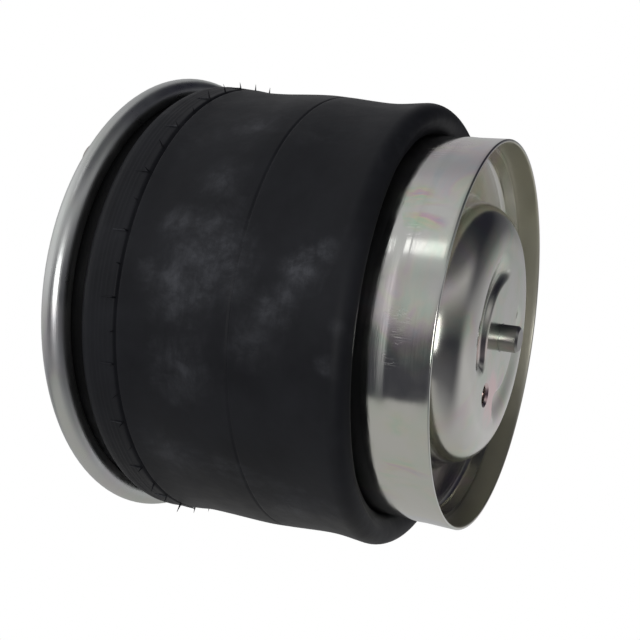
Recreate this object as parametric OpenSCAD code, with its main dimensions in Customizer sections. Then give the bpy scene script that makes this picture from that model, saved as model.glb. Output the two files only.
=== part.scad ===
// Rolling-lobe air suspension spring with a steel piston.
// Upright: the piston is at the bottom and the bead plate on top.
// The origin is the centre of the piston's mounting face and +Z is the spring's axis.

/* [Spring] */
// Height from the piston's mounting face to the top of the bead plate, as delivered
spring_h = 224; // [216:1:240]
// Downward travel of the lobe from the delivered height; the plate moves twice as far
lobe_down = 20; // [10:1:24]
// Upward travel of the lobe, along the straight part of the piston
lobe_up = 52; // [44:1:58]

/* [Bead plate] */
// Outer diameter over the rolled edge
plate_d = 290; // [284:1:310]
// Sheet thickness of the bead plate
plate_t = 2.5; // [2:0.5:3]
// Outer radius of the rolled edge
curl_r = 8; // [7.5:0.1:9]
// Degrees that the rolled edge wraps round the bead
curl_wrap = 210; // [190:1:215]
// Flat gap between the pressed stiffening ring and the combined stud's head
rib_gap = 10; // [4:0.5:30]
// Width of the stiffening ring
rib_w = 14; // [12:1:20]
// Depth of the stiffening ring
rib_depth = 3; // [2:0.5:4]

/* [Studs and pin] */
// How far the studs' and the pin's pressed-in collars stand out beyond their shanks
collar = 0.6; // [0.4:0.1:1]
// Distance of the studs from the bead plate's outer edge
stud_in = 40.5; // [37:0.5:55]
// Thread diameter of the combined stud and air inlet
combi_d = 27; // [22:1:30]
// Height of the combined stud above the plate
combi_h = 33; // [20:1:40]
// Direction of the combined stud from +X
combi_angle = -42; // [-60:1:-20]
// Thread diameter of the plain mounting studs
stud_d = 12; // [10:1:16]
// Height of the plain mounting studs above the plate
stud_h = 32; // [20:1:40]
// Directions of the plain mounting studs from +X
stud_angles = [108, 168];
// Core diameter of the air inlet's thread
port_d = 10.5; // [8:0.5:14]
// Depth of the air inlet's thread
port_depth = 14; // [10:1:18]
// Diameter of the air passage into the bellows
air_d = 6; // [4:0.5:7]
// How far a stud's head stands out beyond its shank, inside the bellows
head_flange = 5; // [4:0.5:7]
// Thickness of a stud's head
head_t = 5; // [4:0.5:7]
// Section of the seal under a stud's head
seal_d = 2.4; // [2:0.1:3]

/* [Bellows] */
// Wall of rubber and fabric
wall = 5.5; // [5:0.1:6]
// How far the sleeve's shoulder stands out beyond the end of the rolled edge
neck_out = 7.2; // [5.8:0.1:8]
// Open gap between the rolled edge and the shoulder of the sleeve
neck_gap = 3.5; // [2:0.1:5]
// Outer radius of the rolling lobe's bend
lobe_bend = 9.35; // [8.6:0.05:10]
// How far the waist above the lobe lies inside the lobe
waist_in = 0.9; // [0:0.1:1.5]
// How far the sleeve at the second mould line stands out beyond the lobe
line_out = 2.2; // [1.5:0.1:3]
// How far the sleeve's straight part stands out beyond the lobe
body_out = 3.3; // [2:0.1:4]
// How far the sleeve at the parting line stands out beyond the lobe
parting_out = 5.2; // [4:0.1:6]
// Parting line below the top of the bead plate
parting_drop = 49.8; // [45:0.1:55]
// Second mould line below the top of the bead plate
line_drop = 118.4; // [110:0.1:125]
// Height of the lobe's centre above the mounting face, as delivered
lobe_z = 53.5; // [46:0.5:56]
// Width of the step at the parting line
parting_step = 0.5; // [0.3:0.1:0.8]
// Rubber radius round the lower bead
lower_bead_r = 6; // [5.5:0.1:6.5]
// Radius of the wire hoop in each bead
wire_r = 2.5; // [2:0.1:3]

/* [Piston shell] */
// Outer diameter of the skirt
skirt_d = 229.4; // [220:0.2:230]
// Sheet thickness of the shell
shell_t = 2; // [1.5:0.1:2.5]
// Height of the skirt's rim above the mounting face
rim_z = 4.6; // [3:0.2:6]
// Radius of the shoulder
shoulder_r = 20; // [16:1:21]
// Radius of the lower bead's seat at its root
seat_r = 72.7; // [68:0.1:76]
// Taper of the seat in degrees
seat_taper = 5; // [2:0.5:7]

/* [Piston base] */
// Sheet thickness of the pressed base
base_t = 3; // [2.5:0.1:3.5]
// Distance from the rim to the edge of the base's flange
flange_in = 14; // [10:0.5:16]
// Distance from the rim to the floor of the ring-shaped trench
trench_depth = 24; // [22:0.5:28]
// Radius where the dome's side would meet the mounting face
dome_r = 76; // [74:0.5:79]
// Taper of the dome's side in degrees
dome_taper = 8; // [4:0.5:10]
// Radius of the dome's shoulder
dome_shoulder = 24; // [18:0.5:25]
// Radius of the bend between the dome and the trench
dome_foot = 6; // [4:0.5:8]
// Middle radius of the two kidney-shaped grooves
groove_r = 41; // [39:0.1:43]
// Width of the grooves
groove_w = 16; // [12:0.5:17]
// Depth of the grooves
groove_depth = 5.5; // [3:0.5:6]
// Degrees round the dome from one end of a groove to the other
groove_sweep = 78; // [60:1:90]
// Degrees between the near ends of the two grooves, where the face is left flat
bridge_angle = 69; // [64:1:80]
// Direction of the middle of the bridge that carries the threaded hole, from +X
bridge_dir = 212; // [200:1:240]

/* [Base fixings] */
// Diameter of the locating pin
pin_d = 16; // [14:0.5:20]
// How far the pin stands out of the mounting face
pin_out = 11; // [8:0.2:16]
// Chamfer on the pin's end
pin_chamfer = 1.4; // [0.8:0.1:2]
// Diameter of the pin's riveted head behind the sheet
pin_head_d = 22; // [19:0.5:26]
// Thickness of the pin's riveted head
pin_head_t = 3; // [2:0.5:4]
// Distance of the threaded hole from the axis
hole_pcr = 39.5; // [37:0.5:42]
// Degrees from the middle of the bridge to the threaded hole
hole_turn = 2; // [0:1:4]
// Diameter of the hole in the sheet
hole_d = 11.6; // [11:0.1:12.4]
// Chamfer round the hole
hole_chamfer = 1.4; // [0.5:0.1:2]
// Core diameter of the weld nut's thread
nut_core_d = 10.2; // [9.6:0.1:10.6]
// Width of the weld nuts across their flats
nut_af = 18; // [17:1:19]
// Height of the weld nuts
nut_h = 10; // [8:0.5:12]

/* [Inside the spring] */
// Outer diameter of the support tube
tube_d = 44.5; // [42:0.5:46]
// Wall of the support tube
tube_wall = 3; // [2:0.5:4]
// Sheet thickness of the end closure
closure_t = 2.5; // [2:0.5:3]
// Thickness of the flat seal under the end closure
closure_seal_t = 1; // [0.5:0.1:1.5]
// Width of the flat seal
closure_seal_w = 14; // [8:1:20]
// Base diameter of the bump stop
bump_base_d = 84; // [70:1:100]
// Top diameter of the bump stop
bump_top_d = 60; // [50:1:70]
// How far the bump stop's waist lies inside its top edge
bump_waist = 2; // [0:0.5:4]
// Radius round the top edge of the bump stop
bump_round = 5.5; // [4:0.5:8]
// Diameter of the well in the bump stop
bump_well_d = 34; // [32:1:38]
// Thickness of the steel plate in the bump stop
bump_plate_t = 3; // [2:0.5:4]
// Thread diameter of the centre bolt
bolt_d = 12; // [10:1:12]
// Head of the centre bolt across its flats
bolt_af = 18; // [16:1:19]
// Height of the centre bolt's head
bolt_head_h = 7.5; // [6:0.5:9]
// How far the centre bolt's end stands out of its nut
bolt_tail = 5.5; // [3:0.5:8]
// Thickness of the centre bolt's washer
washer_t = 2.5; // [2:0.5:3]

/* [Hidden] */
$fn = 96;

// Gap between the bellows and what it lies against
rubber_gap = 0.3;
// Gap between parts pushed into one another
push_gap = 0.05;
// Gap round a bolt in its clearance hole
bolt_gap = 0.5;
// Angle of one step along a bend
bend_step = 6;
// Overlap of a cutting tool past the face that it cuts
past = 1;
// How much fuller the round ends of the grooves are than the grooves
end_fullness = 0.2;

hole_dir = bridge_dir + hole_turn;
plate_under = spring_h - plate_t;
curl_pitch_r = plate_d / 2 - curl_r;
curl_z = spring_h - curl_r;
upper_bead_r = curl_r - plate_t - rubber_gap;
lip_angle = 90 - curl_wrap;
skirt_r = skirt_d / 2;
skirt_in = skirt_r - shell_t;
trench_z = rim_z + trench_depth;
shoulder_z = lobe_z + lobe_up + shoulder_r;
lower_bead_pitch_r = seat_r + rubber_gap + lower_bead_r;
lower_bead_z = shoulder_z + rubber_gap + lower_bead_r;
closure_under = lower_bead_z + lower_bead_r + rubber_gap;
closure_z = closure_under + closure_t;
seat_z = closure_under - closure_seal_t;
seat_top_r = seat_r - (seat_z - shoulder_z) * tan(seat_taper);
leg_r = skirt_r + rubber_gap;
lobe_r = leg_r + 2 * lobe_bend;
waist_r = lobe_r - waist_in;
line_r = lobe_r + line_out;
body_r = lobe_r + body_out;
parting_r = lobe_r + parting_out;
bump_h = plate_under - 2 * lobe_down - closure_z - rubber_gap;
well_z = closure_z + bump_plate_t;
lip_r = curl_pitch_r + curl_r * cos(lip_angle);
neck_r = lip_r + neck_out;
stud_pcr = plate_d / 2 - stud_in;
rib_out = stud_pcr - combi_d / 2 - head_flange - rib_gap - rib_depth;
neck_z = curl_z - curl_r - neck_gap - wall / 2;

// Profiles
// Unit vector along v
function unit(v) = v / norm(v);

// Points on an arc about c from angle a0 to angle a1
function arc(c, r, a0, a1) =
    let (n = max(2, ceil(abs(a1 - a0) / bend_step)))
    [for (i = [0:n]) c + r * [cos(a0 + (a1 - a0) * i / n), sin(a0 + (a1 - a0) * i / n)]];

// Points on the bend of radius r that rounds the corner b between a and c
function bend(a, b, c, r) =
    let (u = unit(a - b), v = unit(c - b),
         half = acos(u * v) / 2,
         centre = b + unit(u + v) * (r / sin(half)),
         from = b + u * (r / tan(half)) - centre,
         turn = u[0] * v[1] - u[1] * v[0] > 0 ? -1 : 1,
         a0 = atan2(from[1], from[0]))
    arc(centre, r, a0, a0 + turn * (180 - 2 * half));

// Path through corners of the form [radius, height, bend radius]
function bent(corners) =
    let (last = len(corners) - 1, p = [for (c = corners) [c[0], c[1]]])
    [for (i = [0:last])
        each (i == 0 || i == last || corners[i][2] == undef
            ? [p[i]] : bend(p[i - 1], p[i], p[i + 1], corners[i][2]))];

// Direction of the path at its point i
function heading(path, i) =
    let (last = len(path) - 1,
         before = i == 0 ? path[1] - path[0] : path[i] - path[i - 1],
         after = i == last ? path[last] - path[last - 1] : path[i + 1] - path[i])
    unit(unit(before) + unit(after));

// Path moved sideways by a distance, positive to the left of its direction
function beside(path, distance) =
    [for (i = [0:len(path) - 1])
        let (h = heading(path, i),
             along = unit(i == 0 ? path[1] - path[0] : path[i] - path[i - 1]))
        path[i] + [-h[1], h[0]] * distance / (h * along)];

// Points in reverse order
function backwards(path) = [for (i = [len(path) - 1:-1:0]) path[i]];

// Section of a sheet that lies between the path and the path moved sideways
module sheet(path, thickness) {
    polygon(concat(path, backwards(beside(path, thickness))));
}

// Smooth curve through stations of [radius, height], with steps points on each stretch
function smooth(stations, steps) =
    let (last = len(stations) - 1)
    concat([for (i = [0:last - 1], k = [0:steps - 1])
        let (t = k / steps,
             p1 = stations[i],
             p2 = stations[i + 1],
             p0 = i == 0 ? 2 * p1 - p2 : stations[i - 1],
             p3 = i == last - 1 ? 2 * p2 - p1 : stations[i + 2])
        (2 * p1 + (p2 - p0) * t + (2 * p0 - 5 * p1 + 4 * p2 - p3) * t * t
            + (3 * p1 - p0 - 3 * p2 + p3) * t * t * t) / 2], [stations[last]]);

module place(angle, distance) {
    translate([distance * cos(angle), distance * sin(angle), 0]) children();
}

module revolve() {
    rotate_extrude() children();
}

module hexagon(across_flats, height) {
    cylinder(r = across_flats / sqrt(3), h = height, $fn = 6);
}

// Bead plate and what is fastened to it
module collar_hole(d, under, thickness) {
    translate([0, 0, under - past])
        cylinder(r = d / 2 + collar + push_gap, h = thickness + 2 * past);
}

module bead_plate() {
    rib_in = rib_out - rib_w;
    flat = bent([[0, spring_h], [rib_in - rib_depth, spring_h, plate_t + 1],
                 [rib_in, spring_h - rib_depth, plate_t - 1], [rib_out, spring_h - rib_depth, plate_t - 1],
                 [rib_out + rib_depth, spring_h, plate_t + 1], [curl_pitch_r - past, spring_h]]);
    color([0.72, 0.74, 0.75]) difference() {
        revolve() sheet(concat(flat, arc([curl_pitch_r, curl_z], curl_r, 90, lip_angle)), -plate_t);
        place(combi_angle, stud_pcr) collar_hole(combi_d, plate_under, plate_t);
        for (a = stud_angles) place(a, stud_pcr) collar_hole(stud_d, plate_under, plate_t);
    }
}

module upper_bead_wire() {
    color([0.55, 0.48, 0.36]) revolve() translate([curl_pitch_r, curl_z]) circle(r = wire_r);
}

// Stud with its head under the plate, a collar in the plate and a seal groove in the head's top face
module headed_stud(d, height) {
    chamfer = d / 16;
    difference() {
        union() {
            translate([0, 0, plate_under - head_t]) cylinder(r = d / 2 + head_flange, h = head_t);
            translate([0, 0, plate_under - past]) cylinder(r = d / 2 + collar, h = plate_t + past);
            translate([0, 0, plate_under]) cylinder(d = d, h = plate_t + height - chamfer);
            translate([0, 0, spring_h + height - chamfer])
                cylinder(d1 = d, d2 = d - 2 * chamfer, h = chamfer);
        }
        translate([0, 0, plate_under - seal_d]) revolve()
            translate([d / 2 + head_flange / 2 - seal_d / 2, 0]) square([seal_d, seal_d + past]);
    }
}

module stud_seal(d) {
    translate([0, 0, plate_under - seal_d / 2]) revolve()
        translate([d / 2 + head_flange / 2, 0]) circle(d = seal_d - 2 * push_gap, $fn = 24);
}

module combi_stud() {
    top = spring_h + combi_h;
    color([0.78, 0.74, 0.55]) place(combi_angle, stud_pcr) difference() {
        headed_stud(combi_d, combi_h);
        translate([0, 0, top - port_depth]) cylinder(d = port_d, h = port_depth + past);
        translate([0, 0, plate_under - head_t - past]) cylinder(d = air_d, h = top);
    }
}

module combi_stud_seal() {
    color([0.1, 0.1, 0.1]) place(combi_angle, stud_pcr) stud_seal(combi_d);
}

module mounting_studs() {
    color([0.75, 0.75, 0.72]) for (a = stud_angles) place(a, stud_pcr) headed_stud(stud_d, stud_h);
}

module mounting_stud_seals() {
    color([0.1, 0.1, 0.1]) for (a = stud_angles) place(a, stud_pcr) stud_seal(stud_d);
}

// Bellows: one sleeve, clamped at its upper bead, rolled inwards at the lobe and seated on the piston
module bellows() {
    half = wall / 2;
    tight = half + rubber_gap;
    parting_z = spring_h - parting_drop;
    line_z = spring_h - line_drop;
    lobe_centre = [lobe_r - lobe_bend, lobe_z];
    lobe_mid = lobe_bend - half;
    throat_r = lip_r - rubber_gap - half;
    leg_mid = leg_r + half;
    flat_z = shoulder_z + rubber_gap + half;
    throat = bent([[curl_pitch_r, curl_z], [throat_r, curl_z, tight], [throat_r, neck_z, tight],
                   [neck_r - half, neck_z, tight], [neck_r - half, neck_z - wall]]);
    sleeve = smooth([[neck_r - half, neck_z - wall], [parting_r - half, parting_z],
                     [body_r - half, parting_z - 3 * wall], [body_r - half, line_z + 3 * wall],
                     [line_r - half, line_z], [waist_r - half, lobe_z + 4 * wall],
                     [lobe_r - half, lobe_z]], 5);
    leg = bent([[leg_mid, lobe_z], [leg_mid, flat_z, shoulder_r + rubber_gap + half],
                [lower_bead_pitch_r, flat_z]]);
    lobe = arc(lobe_centre, lobe_mid, 0, -180);
    path = concat(throat, [for (i = [1:len(sleeve) - 1]) sleeve[i]],
                  [for (i = [1:len(lobe) - 1]) lobe[i]], [for (i = [1:len(leg) - 1]) leg[i]]);
    color([0.13, 0.13, 0.14]) revolve() difference() {
        union() {
            sheet(beside(path, -half), wall);
            translate([curl_pitch_r, curl_z]) circle(r = upper_bead_r);
            translate([lower_bead_pitch_r, lower_bead_z]) circle(r = lower_bead_r);
            translate([parting_r - half, parting_z - half]) square([half + parting_step, half]);
        }
        translate([curl_pitch_r, curl_z]) circle(r = wire_r + rubber_gap);
        translate([lower_bead_pitch_r, lower_bead_z]) circle(r = wire_r + rubber_gap);
    }
}

// Piston
module lower_bead_wire() {
    color([0.55, 0.48, 0.36]) revolve() translate([lower_bead_pitch_r, lower_bead_z]) circle(r = wire_r);
}

module piston_skirt() {
    color([0.85, 0.86, 0.84]) revolve()
        sheet(bent([[skirt_r, rim_z], [skirt_r, shoulder_z, shoulder_r],
                    [seat_r, shoulder_z, shell_t + 1], [seat_top_r, seat_z, 2 * shell_t],
                    [bolt_d / 2 + bolt_gap, seat_z]]), shell_t);
}

// Two kidney-shaped grooves of round section, grown by extra on all sides
module kidneys(extra) {
    round_r = (groove_w * groove_w / 4 + groove_depth * groove_depth) / (2 * groove_depth);
    for (flip = [0, 1]) rotate([0, 0, bridge_dir]) mirror([0, flip, 0]) rotate([0, 0, bridge_angle / 2])
        translate([0, 0, groove_depth - round_r]) {
            rotate_extrude(angle = groove_sweep) translate([groove_r, 0]) circle(r = round_r + extra);
            for (a = [0, groove_sweep]) rotate([0, 0, a]) translate([groove_r, 0, 0])
                sphere(r = round_r + extra + end_fullness);
        }
}

module piston_base() {
    flange_r = skirt_in - push_gap - base_t;
    foot_r = dome_r + trench_z * tan(dome_taper);
    face = bent([[flange_r, rim_z + flange_in], [flange_r, trench_z, base_t + 1],
                 [foot_r, trench_z, dome_foot], [dome_r, 0, dome_shoulder], [0, 0]]);
    color([0.84, 0.84, 0.80]) difference() {
        union() {
            revolve() sheet(face, -base_t);
            intersection() {
                kidneys(base_t);
                translate([0, 0, base_t / 2])
                    cylinder(r = groove_r + groove_w / 2 + base_t + past, h = trench_z);
            }
        }
        kidneys(0);
        collar_hole(pin_d, 0, base_t);
        place(hole_dir, hole_pcr) {
            translate([0, 0, -past]) cylinder(d = hole_d, h = base_t + 2 * past);
            cylinder(d1 = hole_d + 2 * hole_chamfer, d2 = hole_d, h = hole_chamfer);
        }
    }
}

// Pin with a collar in the sheet and a riveted head behind it
module locating_pin() {
    color([0.6, 0.6, 0.58]) union() {
        translate([0, 0, -pin_out]) cylinder(d1 = pin_d - 2 * pin_chamfer, d2 = pin_d, h = pin_chamfer);
        translate([0, 0, pin_chamfer - pin_out]) cylinder(d = pin_d, h = pin_out);
        cylinder(r = pin_d / 2 + collar, h = base_t + past);
        translate([0, 0, base_t]) cylinder(d1 = pin_head_d, d2 = pin_d, h = pin_head_t);
    }
}

module weld_nut(core) {
    difference() {
        hexagon(nut_af, nut_h);
        translate([0, 0, -past]) cylinder(d = core, h = nut_h + 2 * past);
    }
}

module base_weld_nut() {
    color([0.7, 0.68, 0.6]) place(hole_dir, hole_pcr) translate([0, 0, base_t]) weld_nut(nut_core_d);
}

module support_tube() {
    color([0.35, 0.36, 0.37]) translate([0, 0, base_t]) difference() {
        cylinder(d = tube_d, h = seat_z - shell_t - base_t);
        translate([0, 0, -past]) cylinder(d = tube_d - 2 * tube_wall, h = seat_z);
    }
}

module end_closure() {
    rim = lower_bead_pitch_r + lower_bead_r + rubber_gap;
    color([0.7, 0.72, 0.73]) revolve()
        sheet(bent([[bolt_d / 2 + bolt_gap, closure_under],
                    [rim, closure_under, lower_bead_r + rubber_gap],
                    [rim, lower_bead_z - rubber_gap]]), closure_t);
}

module closure_seal() {
    color([0.1, 0.1, 0.1]) translate([0, 0, seat_z]) difference() {
        cylinder(r = tube_d / 2 + closure_seal_w, h = closure_seal_t);
        translate([0, 0, -past]) cylinder(d = tube_d, h = closure_seal_t + 2 * past);
    }
}

module bump_stop() {
    base_r = bump_base_d / 2;
    top_r = bump_top_d / 2;
    color([0.12, 0.12, 0.12]) translate([0, 0, closure_z]) difference() {
        revolve() polygon(concat([[0, 0], [base_r, 0]],
            smooth([[base_r, bump_plate_t * 2], [top_r - bump_waist, bump_h / 2],
                    [top_r, bump_h - bump_round]], 5),
            arc([top_r - bump_round, bump_h - bump_round], bump_round, 0, 90), [[0, bump_h]]));
        translate([0, 0, -past]) cylinder(d = bump_base_d - 4 * bump_plate_t, h = bump_plate_t + past);
        cylinder(d = bump_well_d, h = bump_h + past);
    }
}

module bump_stop_plate() {
    color([0.6, 0.6, 0.6]) translate([0, 0, closure_z]) difference() {
        cylinder(d = bump_base_d - 4 * bump_plate_t - 2 * push_gap, h = bump_plate_t);
        translate([0, 0, -past]) cylinder(d = bolt_d + 2 * bolt_gap, h = bump_plate_t + 2 * past);
    }
}

module centre_bolt() {
    under_head = well_z + washer_t;
    color([0.75, 0.72, 0.55]) union() {
        translate([0, 0, under_head]) hexagon(bolt_af, bolt_head_h);
        translate([0, 0, seat_z - shell_t - nut_h - bolt_tail])
            cylinder(d = bolt_d, h = under_head - seat_z + shell_t + nut_h + bolt_tail + past);
    }
}

module centre_bolt_washer() {
    color([0.7, 0.7, 0.68]) translate([0, 0, well_z]) difference() {
        cylinder(d = 2 * bolt_d, h = washer_t);
        translate([0, 0, -past]) cylinder(d = bolt_d + 2 * bolt_gap, h = washer_t + 2 * past);
    }
}

module centre_weld_nut() {
    color([0.7, 0.68, 0.6]) translate([0, 0, seat_z - shell_t - nut_h]) weld_nut(bolt_d + 2 * push_gap);
}

bead_plate();
upper_bead_wire();
combi_stud();
combi_stud_seal();
mounting_studs();
mounting_stud_seals();
bellows();
lower_bead_wire();
piston_skirt();
piston_base();
locating_pin();
base_weld_nut();
support_tube();
end_closure();
closure_seal();
bump_stop();
bump_stop_plate();
centre_bolt();
centre_bolt_washer();
centre_weld_nut();
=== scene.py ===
# Looks of the air suspension spring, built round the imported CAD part.
# Sizes are in metres unless a name says otherwise; +Z is the spring's axis.
import math
import bmesh
import bpy
from mathutils import Matrix, Vector, noise


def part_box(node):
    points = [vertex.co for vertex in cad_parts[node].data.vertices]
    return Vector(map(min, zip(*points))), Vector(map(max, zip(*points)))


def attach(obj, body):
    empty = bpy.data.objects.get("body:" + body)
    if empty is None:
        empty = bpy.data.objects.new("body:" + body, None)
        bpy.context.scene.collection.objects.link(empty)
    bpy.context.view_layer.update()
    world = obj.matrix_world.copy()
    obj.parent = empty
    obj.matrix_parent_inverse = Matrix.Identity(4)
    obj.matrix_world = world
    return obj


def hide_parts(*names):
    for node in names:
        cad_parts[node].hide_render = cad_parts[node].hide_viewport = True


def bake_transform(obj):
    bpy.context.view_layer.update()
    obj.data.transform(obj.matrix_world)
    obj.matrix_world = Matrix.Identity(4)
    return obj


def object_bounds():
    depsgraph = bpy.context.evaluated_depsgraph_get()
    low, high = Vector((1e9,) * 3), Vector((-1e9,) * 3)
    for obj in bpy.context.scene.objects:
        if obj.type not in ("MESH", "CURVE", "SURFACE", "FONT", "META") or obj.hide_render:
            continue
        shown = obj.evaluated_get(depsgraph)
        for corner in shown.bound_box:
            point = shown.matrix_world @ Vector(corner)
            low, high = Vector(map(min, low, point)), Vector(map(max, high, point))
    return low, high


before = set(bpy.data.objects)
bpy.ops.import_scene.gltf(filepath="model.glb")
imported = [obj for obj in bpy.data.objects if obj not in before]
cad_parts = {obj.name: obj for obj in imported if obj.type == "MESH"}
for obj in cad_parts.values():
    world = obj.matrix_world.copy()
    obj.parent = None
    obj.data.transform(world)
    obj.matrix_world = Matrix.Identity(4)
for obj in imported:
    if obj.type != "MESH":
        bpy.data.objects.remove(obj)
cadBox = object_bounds()
mm = 0.001
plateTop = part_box("bead_plate")[1].z
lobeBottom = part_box("bellows")[0].z

# The photograph's camera
view = {
    "place": (0.0261, -0.5131, -0.1216), "forward": (-0.0546, 0.9041, 0.4238), "up": (0.9918, 0.0, 0.1277),
    "lens": 49.26, "sensor": 36.0, "nearest": 10 * mm,
}


def addCamera():
    data = bpy.data.cameras.new("photoCamera")
    data.lens = view["lens"]
    data.sensor_width = view["sensor"]
    data.clip_start = view["nearest"]
    camera = bpy.data.objects.new("photoCamera", data)
    back = -Vector(view["forward"]).normalized()
    right = Vector(view["up"]).cross(back).normalized()
    up = back.cross(right)
    turn = Matrix((right, up, back)).transposed().to_4x4()
    camera.matrix_world = Matrix.Translation(view["place"]) @ turn
    bpy.context.scene.collection.objects.link(camera)
    bpy.context.scene.camera = camera


addCamera()
print("camera placed")

# Short ways to make nodes
floatKind, vectorKind, colourKind = "NodeSocketFloat", "NodeSocketVector", "NodeSocketColor"
white = (1.0, 1.0, 1.0, 1.0)


def setInput(tree, socket, value):
    if isinstance(value, bpy.types.NodeSocket):
        tree.links.new(value, socket)
    else:
        socket.default_value = value


def addNode(tree, kind, inputs=None, **settings):
    made = tree.nodes.new(kind)
    for key, value in settings.items():
        setattr(made, key, value)
    for key, value in (inputs or {}).items():
        setInput(tree, made.inputs[key], value)
    return made


def mathNode(tree, operation, first, second=0.0):
    return addNode(tree, "ShaderNodeMath", {0: first, 1: second}, operation=operation).outputs[0]


def times(tree, first, second):
    return mathNode(tree, "MULTIPLY", first, second)


def plus(tree, first, second):
    return mathNode(tree, "ADD", first, second)


def minus(tree, first, second):
    return mathNode(tree, "SUBTRACT", first, second)


def rampBetween(tree, value, low, high, lowOut=0.0, highOut=1.0):
    return addNode(tree, "ShaderNodeMapRange", {
        "Value": value, "From Min": low, "From Max": high, "To Min": lowOut, "To Max": highOut,
    }, interpolation_type="SMOOTHSTEP").outputs["Result"]


def mixColour(tree, factor, first, second, blend="MIX"):
    made = addNode(tree, "ShaderNodeMix", data_type="RGBA", blend_type=blend)
    for key, value in ((0, factor), (6, first), (7, second)):
        setInput(tree, made.inputs[key], value)
    return made.outputs[2]


# A noise look is its detail, its roughness and how far it bends
def noiseNode(tree, vector, scale, look):
    detail, roughness, bend = look
    return addNode(tree, "ShaderNodeTexNoise", {
        "Vector": vector, "Scale": scale, "Detail": detail, "Roughness": roughness, "Distortion": bend,
    }).outputs["Fac"]


def stretched(tree, vector, scale):
    return addNode(tree, "ShaderNodeMapping", {"Vector": vector, "Scale": scale}).outputs[0]


def fillRamp(node, stops):
    elements = node.color_ramp.elements
    while len(elements) < len(stops):
        elements.new(0.5)
    for element, (place, colour) in zip(elements, stops):
        element.position = place
        element.color = colour


def newGroup(name, inputs, output, kind):
    group = bpy.data.node_groups.new(name, "ShaderNodeTree")
    for socket, socketKind, value in inputs:
        made = group.interface.new_socket(name=socket, in_out="INPUT", socket_type=socketKind)
        if value is not None:
            made.default_value = value
    group.interface.new_socket(name=output, in_out="OUTPUT", socket_type=kind)
    given = group.nodes.new("NodeGroupInput").outputs
    return group, given, group.nodes.new("NodeGroupOutput").inputs[output]


def useGroup(tree, group, **inputs):
    made = tree.nodes.new("ShaderNodeGroup")
    made.node_tree = group
    for key, value in inputs.items():
        setInput(tree, made.inputs[key], value)
    return made.outputs[0]


smudge = {
    "broad": (4.0, 0.62, 0.6), "fine": (5.0, 0.7, 0.0), "fineScale": 7.0, "bare": 0.78, "coverGain": 0.4,
    "edge": 0.22, "grain": (0.35, 0.68),
}


# Dust that clings in soft smudges, with finer streaks in it
def makeDustGroup():
    s = smudge
    group, given, result = newGroup("dustSmudges", [
        ("Vector", vectorKind, None), ("Scale", floatKind, 14.0), ("Cover", floatKind, 0.5),
    ], "Mask", floatKind)
    broad = noiseNode(group, given["Vector"], given["Scale"], s["broad"])
    fine = noiseNode(group, given["Vector"], times(group, given["Scale"], s["fineScale"]), s["fine"])
    low = minus(group, s["bare"], times(group, given["Cover"], s["coverGain"]))
    patch = rampBetween(group, broad, low, plus(group, low, s["edge"]))
    grain = rampBetween(group, fine, *s["grain"])
    group.links.new(times(group, patch, grain), result)
    return group


scratch = {
    "turns": ((0.5, 14.0), (-0.7, 11.0), (1.35, 17.0)), "lean": 0.6,
    "lineScale": 4.0, "line": (1.0, 0.4, 0.0), "lineWidth": 0.012,
    "clusterScale": 0.33, "cluster": (2.0, 0.55, 0.0), "bare": 0.85, "coverGain": 0.5, "edge": 0.12,
}


# Short fine scratches in scattered clusters, drawn along three directions
def makeScratchGroup():
    s = scratch
    group, given, result = newGroup("fineScratches", [
        ("Vector", vectorKind, None), ("Scale", floatKind, 60.0), ("Cover", floatKind, 0.4),
    ], "Mask", floatKind)
    lines = 0.0
    for turn, stretch in s["turns"]:
        turned = addNode(group, "ShaderNodeMapping", {
            "Vector": given["Vector"], "Rotation": (turn, turn * s["lean"], turn),
            "Scale": (1.0, 1.0, 1.0 / stretch)}).outputs[0]
        cells = noiseNode(group, turned, times(group, given["Scale"], s["lineScale"]), s["line"])
        off = mathNode(group, "ABSOLUTE", minus(group, cells, 0.5))
        lines = mathNode(group, "MAXIMUM", rampBetween(group, off, s["lineWidth"], 0.0), lines)
    where = noiseNode(group, given["Vector"], times(group, given["Scale"], s["clusterScale"]), s["cluster"])
    edge = minus(group, s["bare"], times(group, given["Cover"], s["coverGain"]))
    spread = rampBetween(group, where, edge, plus(group, edge, s["edge"]))
    group.links.new(times(group, lines, spread), result)
    return group


film = {
    "look": (3.5, 0.6, 1.2), "patchScale": 1.7, "patch": (2.0, 0.55, 0.0), "patchRange": (0.38, 0.66),
    "hues": ((0.28, (0.66, 0.78, 1.0, 1.0)), (0.38, (1.0, 0.98, 0.74, 1.0)), (0.46, (0.68, 1.0, 0.76, 1.0)),
             (0.53, (1.0, 0.97, 0.72, 1.0)), (0.60, (1.0, 0.70, 0.86, 1.0)), (0.70, (0.62, 0.78, 1.0, 1.0))),
}


# Pale interference colours of thin zinc passivation
def makePlatingGroup():
    group, given, result = newGroup("platingTint", [
        ("Vector", vectorKind, None), ("Base", colourKind, (0.6, 0.6, 0.56, 1.0)), ("Scale", floatKind, 9.0),
        ("Strength", floatKind, 0.5)], "Color", colourKind)
    depth = noiseNode(group, given["Vector"], given["Scale"], film["look"])
    hues = addNode(group, "ShaderNodeValToRGB", {"Fac": depth})
    fillRamp(hues, film["hues"])
    where = noiseNode(group, given["Vector"], times(group, given["Scale"], film["patchScale"]), film["patch"])
    amount = times(group, rampBetween(group, where, *film["patchRange"]), given["Strength"])
    tint = mixColour(group, amount, white, hues.outputs["Color"])
    group.links.new(mixColour(group, 1.0, given["Base"], tint, "MULTIPLY"), result)
    return group


tear = {"scale": 55.0, "look": (5.0, 0.65, 0.8), "gain": 4.0}


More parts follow.
